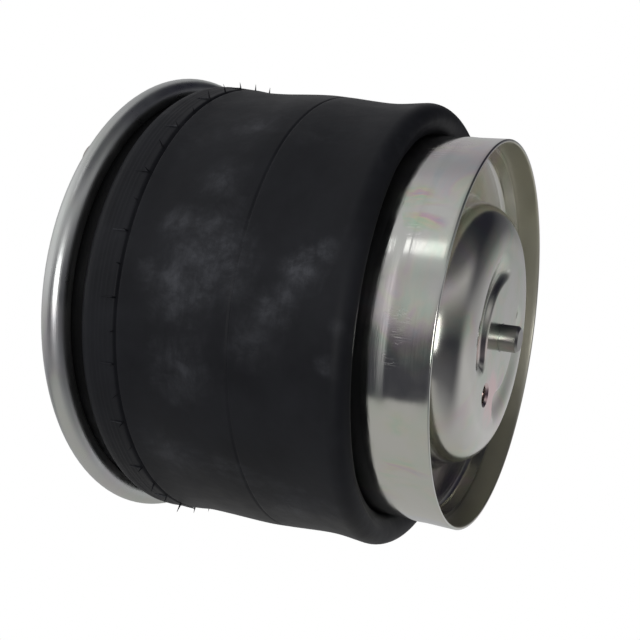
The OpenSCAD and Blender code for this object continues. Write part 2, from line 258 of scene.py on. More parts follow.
# A ragged patch round one place, and how strongly a point lies in it
def makePatchGroup():
    group, given, result = newGroup("patchAt", [
        ("Vector", vectorKind, None), ("Centre", vectorKind, (0.0, 0.0, 0.0)), ("Reach", floatKind, 0.02),
        ("Ragged", floatKind, 0.5), ("Core", floatKind, 0.35)], "Mask", floatKind)
    away = addNode(group, "ShaderNodeVectorMath", {
        0: given["Vector"], 1: given["Centre"]}, operation="DISTANCE")
    near = mathNode(group, "DIVIDE", away.outputs["Value"], given["Reach"])
    torn = noiseNode(group, given["Vector"], tear["scale"], tear["look"])
    torn = times(group, minus(group, torn, 0.5), given["Ragged"])
    edge = plus(group, near, times(group, torn, tear["gain"]))
    group.links.new(rampBetween(group, edge, 1.0, given["Core"]), result)
    return group


dustGroup = makeDustGroup()
patchGroup = makePatchGroup()
scratchGroup = makeScratchGroup()
platingGroup = makePlatingGroup()


# A point at an angle round the axis
def polar(angle, out, height=0.0):
    return Vector((out * math.cos(angle), out * math.sin(angle), height))


# Several ragged patches as one mask; a mark is an angle, a height and a reach in millimetres, and a strength
def placedMask(tree, place, marks, radius, ragged, core=0.35):
    mask = 0.0
    for angle, height, reach, strength in marks:
        centre = polar(math.radians(angle), radius, height * mm)
        patch = useGroup(
            tree, patchGroup, Vector=place, Centre=centre, Reach=reach * mm, Ragged=ragged, Core=core)
        mask = mathNode(tree, "MAXIMUM", times(tree, patch, strength), mask)
    return mask


def newMaterial(name, **constants):
    material = bpy.data.materials.new(name)
    material.use_nodes = True
    shader = material.node_tree.nodes["Principled BSDF"]
    for key, value in constants.items():
        shader.inputs[key.replace("_", " ")].default_value = value
    return material, material.node_tree, shader


def bumpFrom(tree, height, strength, distance, shader):
    bump = addNode(tree, "ShaderNodeBump", {"Height": height, "Strength": strength, "Distance": distance})
    tree.links.new(bump.outputs["Normal"], shader.inputs["Normal"])


rubber = {
    "colour": (0.0098, 0.0103, 0.0125, 1.0), "pale": (0.0160, 0.0168, 0.0200, 1.0),
    "dust": (0.108, 0.112, 0.124, 1.0), "paintedShade": (0.0025, 0.0025, 0.0028, 1.0),
    "scuff": (0.13, 0.13, 0.13, 1.0), "specular": 0.15,
    "dustScale": 15.0, "dustStretch": (1.0, 1.0, 0.75),
    "scuffScale": 26.0, "scuffCover": 0.34, "scuffGain": 0.16,
    "mottleScale": 22.0, "mottle": (5.0, 0.6, 0.0), "toneRange": (0.3, 0.72),
    "roughness": (0.3, 0.7, 0.44, 0.58),
    "grainScale": 1400.0, "grain": (3.0, 0.6, 0.0), "grainShare": 0.12,
    "waveScale": 90.0, "waves": (2.0, 0.5, 0.0), "bump": 0.35, "bumpDepth": 0.6 * mm,
}
# Marks on the sleeve, partly chalky dust and partly painted highlight where its dents catch light, and
# painted shade in the hollow below the plate, where little light gets in
chalk = {
    "radius": 135 * mm, "ragged": 0.3, "core": -0.25, "paintedShadeRange": (plateTop - 30 * mm, plateTop - 22 * mm),
    "streakScale": 95.0, "streak": (6.0, 0.72, 0.4), "streakRange": (0.3, 0.68), "most": 1.32,
    "streaks": (((0.3, 0.3, 1.0), 0.45), ((0.8, 0.8, 0.6), 0.25)),
    "marks": (
        (-78, 124, 36, 0.44), (-85, 134, 30, 0.40), (-82, 108, 20, 0.34), (-72, 146, 18, 0.30),
        (-83, 158, 10, 0.5), (-79, 71, 17, 0.62), (-84, 78, 12, 0.42), (-74, 60, 9, 0.5), (-88, 84, 17, 0.28),
        (-98, 50, 9, 0.42), (-90, 47, 7, 0.4), (-60, 131, 20, 0.28), (-42, 127, 18, 0.40), (-38, 122, 9, 0.4),
        (-104, 132, 28, 0.26), (-95, 93, 22, 0.2), (-128, 150, 24, 0.22), (10, 120, 34, 0.34),
        (70, 140, 28, 0.3), (120, 90, 36, 0.3), (170, 130, 30, 0.3), (215, 85, 32, 0.26),
    ),
}


# Pale patches placed one by one on the sleeve: partly chalky dust, partly painted highlight where its dents
# catch light
def chalkAndHighlightMask(tree, place):
    mask = placedMask(tree, place, chalk["marks"], chalk["radius"], chalk["ragged"], chalk["core"])
    for stretch, least in chalk["streaks"]:
        streaks = noiseNode(tree, stretched(tree, place, stretch), chalk["streakScale"], chalk["streak"])
        mask = times(tree, mask, rampBetween(tree, streaks, *chalk["streakRange"], least, chalk["most"]))
    return mask


# Marked rubber reads each point's place at rest, so that its marks stay on it as it rolls
def makeRubber(name, dustCover, dustGain=0.16, marked=False):
    r = rubber
    material, tree, shader = newMaterial(name, Specular_IOR_Level=r["specular"])
    if marked:
        place = addNode(tree, "ShaderNodeAttribute", attribute_name="restPlace").outputs["Vector"]
    else:
        place = addNode(tree, "ShaderNodeTexCoord").outputs["Object"]
    flat = stretched(tree, place, r["dustStretch"])
    dust = useGroup(tree, dustGroup, Vector=flat, Scale=r["dustScale"], Cover=dustCover)
    dust = times(tree, dust, dustGain)
    mottle = noiseNode(tree, place, r["mottleScale"], r["mottle"])
    dark = mixColour(tree, rampBetween(tree, mottle, *r["toneRange"]), r["colour"], r["pale"])
    if marked:
        # The placed pale marks join the dust: partly chalky dust, partly painted highlight
        dust = mathNode(tree, "MAXIMUM", dust, chalkAndHighlightMask(tree, place))
        # Painted shade: the rubber is coloured darker in the hollow below the plate, where little light gets
        # in
        height = addNode(tree, "ShaderNodeSeparateXYZ", {0: place}).outputs["Z"]
        dark = mixColour(tree, rampBetween(tree, height, *chalk["paintedShadeRange"]), dark, r["paintedShade"])
    scuffs = useGroup(tree, scratchGroup, Vector=place, Scale=r["scuffScale"], Cover=r["scuffCover"])
    dusty = mixColour(tree, dust, dark, r["dust"])
    worn = mixColour(tree, times(tree, scuffs, r["scuffGain"]), dusty, r["scuff"])
    tree.links.new(worn, shader.inputs["Base Color"])
    tree.links.new(rampBetween(tree, mottle, *r["roughness"]), shader.inputs["Roughness"])
    grain = noiseNode(tree, place, r["grainScale"], r["grain"])
    waves = noiseNode(tree, place, r["waveScale"], r["waves"])
    bumpFrom(tree, plus(tree, times(tree, grain, r["grainShare"]), waves), r["bump"], r["bumpDepth"], shader)
    return material


# Marks on the piston, given as those on the sleeve are
pistonMarks = {
    "skirtRadius": 114.7 * mm, "innerRadius": 113.4 * mm, "innerEdge": 0.2 * mm,
    # inner is the colour inside the skirt, darker and more olive: partly the zinc's own tone, partly painted
    # shade
    "inner": (0.56, 0.545, 0.46, 1.0), "grime": 0.24, "blush": (0.86, 0.60, 0.60, 1.0), "faceRadius": 37 * mm,
    "ragged": 0.4, "scratchRagged": 0.35,
    "bandStretch": (1.0, 1.0, 0.35), "bandScale": 40.0, "bandStrength": 1.6,
    "fineScale": 150.0, "fineCover": 0.95,
    "hues": ((-58, 20, 15, 0.85), (-52, 27, 12, 0.7), (-112, 24, 12, 0.35), (-128, 20, 18, 0.4),
             (70, 30, 30, 0.5)),
    "scratches": ((-93, 25, 13, 1.0), (-86, 24, 9, 0.9), (-63, 26, 6, 0.7), (60, 30, 16, 0.8),
                  (150, 25, 14, 0.7)),
    "face": ((188, 0, 19, 0.85), (208, 0, 11, 0.5), (262, 0, 11, 0.3)),
}
zinc = {
    "tintScale": 17.0, "scratchScale": 42.0, "scratchGain": 0.45, "scratched": (0.86, 0.86, 0.84, 1.0),
    "smearScale": 24.0, "smearCover": 0.42, "haze": 0.18, "smeared": (0.36, 0.38, 0.41, 1.0),
    "patchScale": 30.0, "patch": (4.0, 0.6, 0.0), "patchRange": (0.3, 0.7), "smoother": 0.05, "rougher": 0.07,
    "smearRough": 0.12, "scratchRough": 0.25, "drawn": (1.0, 1.0, 0.12), "line": (3.0, 0.6, 0.0),
    "lineGain": 0.05, "dentScale": 16.0, "dent": (2.0, 0.5, 0.0), "dentGain": 0.9, "scratchDepth": 0.06,
    "bump": 0.25, "bumpDepth": 0.8 * mm,
}
turnedZinc = dict(zinc, haze=0.34, drawn=(0.06, 0.06, 1.0), lineGain=0.16)


# How far a point lies inside the piston's skirt, which is rougher there and coloured darker and more olive:
# partly its own tone, partly painted shade
def insideMask(tree, place):
    p = pistonMarks
    across = addNode(tree, "ShaderNodeVectorMath", {0: place, 1: (1.0, 1.0, 0.0)}, operation="MULTIPLY")
    out = addNode(tree, "ShaderNodeVectorMath", {0: across.outputs[0]}, operation="LENGTH").outputs["Value"]
    return rampBetween(tree, out, p["innerRadius"] + p["innerEdge"], p["innerRadius"] - p["innerEdge"])


def makeZinc(name, base, tint, roughness, scratchCover, lineScale, turned=False, blushed=False):
    p = pistonMarks
    z = turnedZinc if turned else zinc
    material, tree, shader = newMaterial(name, Metallic=1.0)
    place = addNode(tree, "ShaderNodeTexCoord").outputs["Object"]
    colour = useGroup(tree, platingGroup, Vector=place, Base=base, Scale=z["tintScale"], Strength=tint)
    scratches = useGroup(tree, scratchGroup, Vector=place, Scale=z["scratchScale"], Cover=scratchCover)
    smears = useGroup(tree, dustGroup, Vector=place, Scale=z["smearScale"], Cover=z["smearCover"])
    if blushed:
        where = placedMask(tree, place, p["face"], p["faceRadius"], p["ragged"])
        colour = mixColour(tree, where, colour, p["blush"])
    if turned:
        bands = stretched(tree, place, p["bandStretch"])
        vivid = useGroup(tree, platingGroup, Vector=bands, Base=base, Scale=p["bandScale"],
                         Strength=p["bandStrength"])
        where = placedMask(tree, place, p["hues"], p["skirtRadius"], p["ragged"])
        colour = mixColour(tree, where, colour, vivid)
        fine = useGroup(tree, scratchGroup, Vector=place, Scale=p["fineScale"], Cover=p["fineCover"])
        where = placedMask(tree, place, p["scratches"], p["skirtRadius"], p["scratchRagged"])
        scratches = mathNode(tree, "MAXIMUM", scratches, times(tree, fine, where))
    colour = mixColour(tree, times(tree, scratches, z["scratchGain"]), colour, z["scratched"])
    colour = mixColour(tree, times(tree, smears, z["haze"]), colour, z["smeared"])
    patches = noiseNode(tree, place, z["patchScale"], z["patch"])
    rough = rampBetween(tree, patches, *z["patchRange"], roughness - z["smoother"], roughness + z["rougher"])
    rough = plus(tree, rough, times(tree, smears, z["smearRough"]))
    rough = plus(tree, rough, times(tree, scratches, z["scratchRough"]))
    if turned:
        inside = insideMask(tree, place)
        # Painted shade, partly the zinc's own olive tone: the inside of the skirt is coloured darker
        colour = mixColour(tree, inside, colour, p["inner"])
        rough = plus(tree, rough, times(tree, inside, p["grime"]))
    tree.links.new(colour, shader.inputs["Base Color"])
    tree.links.new(rough, shader.inputs["Roughness"])
    lines = noiseNode(tree, stretched(tree, place, z["drawn"]), lineScale, z["line"])
    dents = noiseNode(tree, place, z["dentScale"], z["dent"])
    height = plus(tree, times(tree, lines, z["lineGain"]), times(tree, dents, z["dentGain"]))
    height = minus(tree, height, times(tree, scratches, z["scratchDepth"]))
    bumpFrom(tree, height, z["bump"], z["bumpDepth"], shader)
    return material


sleeveRubber = makeRubber("dustyRubber", dustCover=0.62, marked=True)
ventRubber = makeRubber("chalkedRubber", dustCover=0.95, dustGain=0.5)
sealRubber = makeRubber("cleanRubber", dustCover=0.1)
metals = {
    "skirtZinc": {"base": (0.66, 0.66, 0.63, 1.0), "tint": 0.35, "roughness": 0.13, "scratchCover": 0.42,
                  "lineScale": 700.0, "turned": True},
    "brightZinc": {"base": (0.66, 0.65, 0.61, 1.0), "tint": 0.4, "roughness": 0.17, "scratchCover": 0.42,
                   "lineScale": 900.0, "blushed": True},
    "satinZinc": {"base": (0.60, 0.61, 0.60, 1.0), "tint": 0.15, "roughness": 0.31, "scratchCover": 0.15,
                  "lineScale": 700.0},
    "threadZinc": {"base": (0.46, 0.45, 0.40, 1.0), "tint": 0.3, "roughness": 0.30, "scratchCover": 0.2,
                   "lineScale": 900.0},
    "turnedSteel": {"base": (0.36, 0.36, 0.35, 1.0), "tint": 0.2, "roughness": 0.26, "scratchCover": 0.3,
                    "lineScale": 1200.0},
    "darkSteel": {"base": (0.30, 0.30, 0.31, 1.0), "tint": 0.1, "roughness": 0.40, "scratchCover": 0.2,
                  "lineScale": 600.0},
}
skirtZinc, brightZinc, satinZinc, threadZinc, turnedSteel, darkSteel = (
    makeZinc(metal, **look) for metal, look in metals.items())
print("materials made")

nodeFinish = {
    "bead_plate": satinZinc, "upper_bead_wire": darkSteel, "combi_stud_seal": sealRubber,
    "mounting_stud_seals": sealRubber, "lower_bead_wire": darkSteel, "piston_skirt": skirtZinc,
    "piston_base": brightZinc, "locating_pin": turnedSteel, "base_weld_nut": threadZinc,
    "support_tube": darkSteel, "end_closure": satinZinc, "closure_seal": sealRubber,
    "bump_stop": sealRubber, "bump_stop_plate": darkSteel, "centre_bolt": threadZinc,
    "centre_bolt_washer": satinZinc, "centre_weld_nut": threadZinc,
}
for nodeName, finish in nodeFinish.items():
    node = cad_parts[nodeName]
    node.data.materials.clear()
    node.data.materials.append(finish)


# Turned shapes
def arcPoints(centre, radius, fromDegrees, toDegrees, steps):
    points = []
    for i in range(steps + 1):
        angle = math.radians(fromDegrees + (toDegrees - fromDegrees) * i / steps)
        points.append((centre[0] + radius * math.cos(angle), centre[1] + radius * math.sin(angle)))
    return points


def smoothPoints(stations, spacing):
    last = len(stations) - 1
    points = []
    for i in range(last):
        p1, p2 = Vector(stations[i]), Vector(stations[i + 1])
        p0 = Vector(stations[i - 1]) if i else 2 * p1 - p2
        p3 = Vector(stations[i + 2]) if i + 2 <= last else 2 * p2 - p1
        steps = max(2, round((p2 - p1).length / spacing))
        for k in range(steps):
            t = k / steps
            bent = (2 * p1 + (p2 - p0) * t + (2 * p0 - 5 * p1 + 4 * p2 - p3) * t * t
                    + (3 * p1 - p0 - 3 * p2 + p3) * t * t * t) / 2
            points.append((bent.x, bent.y))
    points.append(tuple(stations[-1]))
    return points


def latheMesh(name, section, segments, shift=None):
    verts, faces = [], []
    count = len(section)
    for s in range(segments):
        angle = 2 * math.pi * s / segments
        for r, z in section:
            point = polar(angle, r, z)
            verts.append(shift(point) if shift else point)
    for s in range(segments):
        here, there = s * count, (s + 1) % segments * count
        for i in range(count):
            j = (i + 1) % count
            faces.append((here + i, there + i, there + j, here + j))
    mesh = bpy.data.meshes.new(name)
    mesh.from_pydata(verts, [], faces)
    mesh.update()
    piece = bpy.data.objects.new(name, mesh)
    bpy.context.scene.collection.objects.link(piece)
    return piece


def finishMesh(piece, material, sharpDegrees):
    data = piece.data
    for face in data.polygons:
        face.use_smooth = True
    data.set_sharp_from_angle(angle=math.radians(sharpDegrees))
    data.materials.clear()
    data.materials.append(material)


def recalculateNormals(piece):
    work = bmesh.new()
    work.from_mesh(piece.data)
    bmesh.ops.remove_doubles(work, verts=work.verts, dist=0.0001 * mm)
    bmesh.ops.recalc_face_normals(work, faces=work.faces)
    work.to_mesh(piece.data)
    work.free()


# Keeps each point's place at rest, so that marks stay on the rubber as it rolls
def keepRestPlace(piece):
    kept = piece.data.attributes.new("restPlace", "FLOAT_VECTOR", "POINT")
    kept.data.foreach_set("vector", [value for vertex in piece.data.vertices for value in vertex.co])


bellows = {
    "wall": 5.5 * mm, "segments": 300, "legSegments": 180, "sharp": 60.0,
    "throat": 132.7 * mm, "throatEnd": 0.3 * mm, "curlZ": plateTop - 8.0 * mm,
    "neck": 140.2 * mm, "neckTop": plateTop - 23.5 * mm, "neckRound": 10 * mm,
    "parting": 138.9 * mm, "partingZ": plateTop - 49.8 * mm, "body": 137.0 * mm, "bodyEnd": 16.5 * mm,
    "line": 135.9 * mm, "lineZ": plateTop - 118.4 * mm, "waist": 132.8 * mm, "waistRise": 22 * mm,
    "lobe": 133.7 * mm, "lobeBend": 9.35 * mm, "lobeZ": lobeBottom + 9.35 * mm,
    "leg": 115.0 * mm, "legDrop": 3.5 * mm, "shoulder": 20.3 * mm, "beadR": 6.0 * mm, "seat": 73.0 * mm,
    "ringPitch": 2.6 * mm, "ringHeight": 0.22 * mm, "ringGap": 4 * mm,
    "grooveDepth": 2.0 * mm, "grooveWidth": 0.85 * mm, "lineDepth": 0.6 * mm, "lineWidth": 0.6 * mm,
    "spacing": 0.35 * mm, "fineZone": 3 * mm, "plainEvery": 3, "innerSpacing": 9 * mm, "legRows": 12,
    "stretchDrop": 9 * mm, "stretchRise": 4 * mm,
}
# How far the sleeve is from round, and its lobe from level
slack = {
    "wave": 1.1 * mm, "across": 1.6, "along": 14.0, "waveFrom": 124 * mm, "waveOver": 8 * mm, "fade": 30 * mm,
    "sag": 3.0 * mm, "sagFrom": 116 * mm, "sagOver": 9 * mm, "sagRise": 26 * mm,
}


# How far the mould's rings, the parting line and the second line move the sleeve's skin
def mouldRelief(z):
    b = bellows
    out = 0.0
    bandTop, bandEnd = b["neckTop"] - b["neckRound"], b["partingZ"] + b["ringGap"]
    if bandEnd < z < bandTop:
        out += b["ringHeight"] * math.cos(2 * math.pi * (z - bandEnd) / b["ringPitch"])
    away = abs(z - b["partingZ"]) / b["grooveWidth"]
    out -= b["grooveDepth"] * math.exp(-away * away)
    away = abs(z - b["lineZ"]) / b["lineWidth"]
    out -= b["lineDepth"] * math.exp(-away * away)
    return out


# 0 up to a start, then rising to 1 over a span
def fade(value, start, span):
    return min(1.0, max(0.0, (value - start) / span))


# The sleeve isn't quite round: slow waves, and a lobe that hangs lower on the side that faces the camera
def sleeveShift(point):
    s = slack
    r, angle = math.hypot(point.x, point.y), math.atan2(point.y, point.x)
    share = fade(r, s["waveFrom"], s["waveOver"]) * fade(bellows["partingZ"], point.z, s["fade"])
    if share == 0.0:
        return point
    out = s["wave"] * noise.noise(polar(angle, s["across"], point.z * s["along"])) * share
    low = fade(bellows["lobeZ"] + s["sagRise"], point.z, s["fade"]) * fade(r, s["sagFrom"], s["sagOver"])
    drop = s["sag"] * low * max(0.0, -math.sin(angle)) ** 2
    return point + polar(angle, out, -drop)


def offsetPoints(points, distance):
    moved = []
    last = len(points) - 1
    for i, point in enumerate(points):
        a, b = Vector(points[max(0, i - 1)]), Vector(points[min(last, i + 1)])
        along = (b - a).normalized()
        moved.append((point[0] - along.y * distance, point[1] + along.x * distance))
    return moved


# The outside has close points near the mould's lines, and the hidden inside has few
def makeSleeve():
    b = bellows
    neckZ, partingZ, lineZ, lobeZ = b["neckTop"], b["partingZ"], b["lineZ"], b["lobeZ"]
    throat = [(b["throat"], b["curlZ"]), (b["throat"], neckZ + b["throatEnd"])]
    neck = arcPoints((b["neck"] - b["neckRound"], neckZ - b["neckRound"]), b["neckRound"], 90, 0, steps=10)
    stations = [(b["neck"], neckZ - b["neckRound"]), (b["parting"], partingZ),
                (b["body"], partingZ - b["bodyEnd"]), (b["body"], lineZ + b["bodyEnd"]), (b["line"], lineZ),
                (b["waist"], lobeZ + b["waistRise"]), (b["lobe"], lobeZ)]
    fine = smoothPoints(stations, b["spacing"])
    side = [(r + mouldRelief(z), z) for i, (r, z) in enumerate(fine)
            if i % b["plainEvery"] == 0 or i == len(fine) - 1
            or min(abs(z - partingZ), abs(z - lineZ)) < b["fineZone"]]
    fold = arcPoints((b["lobe"] - b["lobeBend"], lobeZ), b["lobeBend"], 0, -180, steps=28)
    outside = throat + neck[1:] + side[1:] + fold[1:]
    coarse = throat + neck[::3][1:] + smoothPoints(stations, b["innerSpacing"])[1:] + fold[::4][1:]
    inside = offsetPoints(coarse, -b["wall"])
    piece = latheMesh("bellowsSleeve", outside + inside[::-1], b["segments"], sleeveShift)
    recalculateNormals(piece)
    finishMesh(piece, sleeveRubber, b["sharp"])
    keepRestPlace(piece)
    return piece


def makeInnerLeg():
    b = bellows
    shoulderZ = b["legTop"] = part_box("lower_bead_wire")[0].z - b["legDrop"]
    rise = shoulderZ - b["shoulder"] - b["lobeZ"]
    wallOut = [(b["leg"], b["lobeZ"] + i * rise / b["legRows"]) for i in range(b["legRows"] + 1)]
    bend = arcPoints((b["leg"] - b["shoulder"], shoulderZ - b["shoulder"]), b["shoulder"], 0, 90, steps=12)
    beadCentre = (b["seat"] + b["beadR"], shoulderZ + b["beadR"])
    under = wallOut + bend[1:] + [(beadCentre[0], shoulderZ)]
    over = offsetPoints(under[:-1], -b["wall"])
    bead = arcPoints(beadCentre, b["beadR"], -90, -330, steps=18)
    piece = latheMesh("bellowsLeg", under + bead[1:] + over[::-1], b["legSegments"])
    recalculateNormals(piece)
    finishMesh(piece, sleeveRubber, b["sharp"])
    keepRestPlace(piece)
    return piece


# The pressed base of the piston, with two soft grooves round the pin
base = {
    "sheet": 3 * mm, "rim": 4.6 * mm, "flange": 14 * mm, "trench": 24 * mm, "dome": 76 * mm, "taper": 8.0,
    "shoulder": 24 * mm, "foot": 6 * mm, "corner": 4 * mm, "rays": 360, "step": 0.8 * mm, "sharp": 35.0,
    "grooveR": 39.5 * mm, "grooveIn": 7.5 * mm, "grooveOut": 14.5 * mm, "grooveDepth": 3.4 * mm,
    "grooveEnd": 10 * mm, "grooveFade": 24 * mm, "grooveWall": 0.65,
    "sweep": 78.0, "bridge": 82.0, "bridgeDir": 212.0, "pinHole": 8.65 * mm,
    "holeR": 39.5 * mm, "holeDir": 214.0, "hole": 5.8 * mm, "chamfer": 1.4 * mm,
    "toolOver": 1 * mm, "toolDepth": 9 * mm, "toolSides": 48,
}


def roundCorner(before, corner, after, radius, steps):
    b = Vector(corner)
    u, v = (Vector(before) - b).normalized(), (Vector(after) - b).normalized()
    half = u.angle(v) / 2
    centre = b + (u + v).normalized() * (radius / math.sin(half))
    reach = radius / math.tan(half)
    start, end = b + u * reach - centre, b + v * reach - centre
    fromAngle = math.degrees(math.atan2(start.y, start.x))
    sweep = (math.degrees(math.atan2(end.y, end.x)) - fromAngle + 180) % 360 - 180
    return arcPoints(centre, radius, fromAngle, fromAngle + sweep, steps)


# Presses the two grooves: a point in them moves into the dome by the groove's depth there
def grooveShift(point):
    g = base
    r, angle = math.hypot(point.x, point.y), math.degrees(math.atan2(point.y, point.x))
    across = (r - g["grooveR"]) / (g["grooveOut"] if r > g["grooveR"] else g["grooveIn"])
    depth = 0.0
    for side in (-1, 1):
        middle = g["bridgeDir"] + side * (g["bridge"] + g["sweep"]) / 2
        off = ((angle - middle + 180) % 360 - 180) * side
        end = g["grooveFade"] if off > 0 else g["grooveEnd"]
        away = math.hypot(across, r * math.radians(max(0.0, abs(off) - g["sweep"] / 2)) / end)
        if away < 1.0:
            wall = g["grooveWall"] if across < 0 else 1.0
            rise = min(1.0, (1.0 - away) / wall)
            depth += g["grooveDepth"] * (0.5 - 0.5 * math.cos(math.pi * rise))
    return Vector((point.x, point.y, point.z + depth))


def cutWith(piece, cutter):
    modifier = piece.modifiers.new("holes", "BOOLEAN")
    modifier.operation = "DIFFERENCE"
    modifier.object = cutter
    depsgraph = bpy.context.evaluated_depsgraph_get()
    cut = bpy.data.meshes.new_from_object(piece.evaluated_get(depsgraph))
    piece.modifiers.clear()
    piece.data = cut
    bpy.data.objects.remove(cutter)


def makeBase():
    g = base
    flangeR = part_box("piston_base")[1].x - g["sheet"]
    floorZ = g["rim"] + g["trench"]
    foot = (g["dome"] + floorZ * math.tan(math.radians(g["taper"])), floorZ)
    crown, corner, edge = (g["dome"], 0.0), (flangeR, floorZ), (flangeR, g["rim"] + g["flange"])
    rounded = roundCorner((0.0, 0.0), crown, foot, g["shoulder"], steps=16)
    flatEnd = rounded[0][0]
    steps = round((flatEnd - g["pinHole"]) / g["step"])
    flat = [(g["pinHole"] + i * (flatEnd - g["pinHole"]) / steps, 0.0) for i in range(steps)]
    shown = (flat + rounded + roundCorner(crown, foot, corner, g["foot"], steps=10)
             + roundCorner(foot, corner, edge, g["corner"], steps=8) + [edge])
    hidden = offsetPoints(shown, g["sheet"])
    piece = latheMesh("pistonBase", shown + hidden[::-1], g["rays"], grooveShift)
    recalculateNormals(piece)
    over = g["toolOver"]
    tool = [(0.0, -over), (g["hole"] + g["chamfer"] + over, -over), (g["hole"], g["chamfer"]),
            (g["hole"], g["toolDepth"]), (0.0, g["toolDepth"])]
    cutter = latheMesh("holeTool", tool, g["toolSides"])
    cutter.data.transform(Matrix.Translation(polar(math.radians(g["holeDir"]), g["holeR"])))
    recalculateNormals(cutter)
    bpy.context.view_layer.update()
    cutWith(piece, cutter)
    finishMesh(piece, brightZinc, g["sharp"])
    return piece


# The skirt of the piston: one pressed shell whose rim is rounded and whose side has one faint ring
skirt = {
    "wall": 2 * mm, "shoulder": 20 * mm, "shoulderZ": 125.5 * mm, "seat": 72.7 * mm, "seatTop": 71.7 * mm,
    "boltHole": 6.5 * mm, "edge": 0.85 * mm, "rays": 288, "ringZ": 27.5 * mm, "ringWidth": 3.2 * mm,
    "ringOut": 0.30 * mm, "dents": 0.22 * mm, "across": 2.2, "along": 22.0, "fade": 20 * mm, "row": 2 * mm,
    "root": 3 * mm, "neck": 4 * mm, "sharp": 40.0,
}


def skirtShift(point):
    k = skirt
    sideTop = k["shoulderZ"] - k["shoulder"]
    if point.z > sideTop:
        return point
    angle = math.atan2(point.y, point.x)
    off = (point.z - k["ringZ"]) / k["ringWidth"]
    dent = noise.noise(polar(angle, k["across"], point.z * k["along"]))
    out = k["ringOut"] * math.exp(-off * off) + k["dents"] * fade(sideTop, point.z, k["fade"]) * dent
    return point + polar(angle, out)


def makeSkirt():
    k = skirt
    low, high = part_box("piston_skirt")
    outR, rimZ, seatZ = high.x, low.z, high.z
    sideTop = k["shoulderZ"] - k["shoulder"]
    rows = round((sideTop - rimZ) / k["row"])
    side = [(outR, rimZ + k["edge"] + i * (sideTop - rimZ - k["edge"]) / rows) for i in range(rows)]
    crown, root, top = (outR, k["shoulderZ"]), (k["seat"], k["shoulderZ"]), (k["seatTop"], seatZ)
    shell = (side + roundCorner((outR, rimZ), crown, root, k["shoulder"], steps=12)
             + roundCorner(crown, root, top, k["root"], steps=6)
             + roundCorner(root, top, (k["boltHole"], seatZ), k["neck"], steps=6) + [(k["boltHole"], seatZ)])
    inside = offsetPoints(shell, k["wall"])
    inner = outR - k["wall"] + k["edge"]
    rim = (arcPoints((inner, rimZ + k["edge"]), k["edge"], 180, 270, steps=4)
           + arcPoints((outR - k["edge"], rimZ + k["edge"]), k["edge"], 270, 360, steps=4)[:-1])
    piece = latheMesh("pistonSkirt", rim + shell + inside[:0:-1], k["rays"], skirtShift)
    recalculateNormals(piece)
    finishMesh(piece, skirtZinc, k["sharp"])
    return piece


pistonBase = makeBase()
pistonSkirt = makeSkirt()
sleeve = makeSleeve()
leg = makeInnerLeg()
print("base and bellows made")


# Geometry Nodes helpers
intKind, materialKind = "NodeSocketInt", "NodeSocketMaterial"


def newShapeTree(name, sizes):
    tree = bpy.data.node_groups.new(name, "GeometryNodeTree")
    tree.interface.new_socket(name="Geometry", in_out="INPUT", socket_type="NodeSocketGeometry")
    for label, kind in sizes.items():
        tree.interface.new_socket(name=label, in_out="INPUT", socket_type=kind)
    tree.interface.new_socket(name="Geometry", in_out="OUTPUT", socket_type="NodeSocketGeometry")
    return tree, tree.nodes.new("NodeGroupInput").outputs, tree.nodes.new("NodeGroupOutput").inputs


# Copies of one shape on a ring of points round the axis
def ringOfCopies(tree, given, shape, **turnAndScale):
    ring = addNode(tree, "GeometryNodeCurvePrimitiveCircle", {
        "Resolution": given["Count"], "Radius": given["Radius"]})
    points = addNode(tree, "GeometryNodeCurveToPoints", {"Curve": ring.outputs["Curve"]}, mode="EVALUATED")
    placed = addNode(tree, "GeometryNodeInstanceOnPoints", {
        "Points": points.outputs["Points"], "Instance": shape, **turnAndScale})
    raised = addNode(tree, "ShaderNodeCombineXYZ", {"Z": given["Height"]}).outputs[0]
    return movedTo(tree, placed.outputs["Instances"], raised)


def movedTo(tree, geometry, place):
    return addNode(tree, "GeometryNodeTransform", {"Geometry": geometry, "Translation": place}).outputs[0]


def finishTree(tree, geometry, given, result):
    real = addNode(tree, "GeometryNodeRealizeInstances", {"Geometry": geometry}).outputs[0]
    painted = addNode(tree, "GeometryNodeSetMaterial", {"Geometry": real, "Material": given["Material"]})
    tree.links.new(painted.outputs[0], result["Geometry"])
    return tree


def growMesh(name, tree, sizes, material):
    host = bpy.data.objects.new(name, bpy.data.meshes.new(name + "Host"))
    bpy.context.scene.collection.objects.link(host)
    modifier = host.modifiers.new("grow", "NODES")
    modifier.node_group = tree
    for item in tree.interface.items_tree:
        if item.in_out == "INPUT" and item.name in sizes:
            modifier[item.identifier] = sizes[item.name]
    bpy.context.view_layer.update()
    depsgraph = bpy.context.evaluated_depsgraph_get()
    mesh = bpy.data.meshes.new_from_object(host.evaluated_get(depsgraph))
    host.modifiers.clear()
    host.data = mesh
    mesh.name = name
    mesh.materials.clear()
    mesh.materials.append(material)
    return host


spews = {"Count": 48, "Radius": 138.9 * mm, "Height": bellows["partingZ"] + 1.0 * mm, "Length": 4.6 * mm,
         "Thickness": 0.6 * mm, "Spread": 0.45, "Seed": 7}
whisker = {"sides": 7, "rings": 3, "tip": 0.08 * mm, "lean": 0.18, "twist": 3.1, "longest": 1.25}


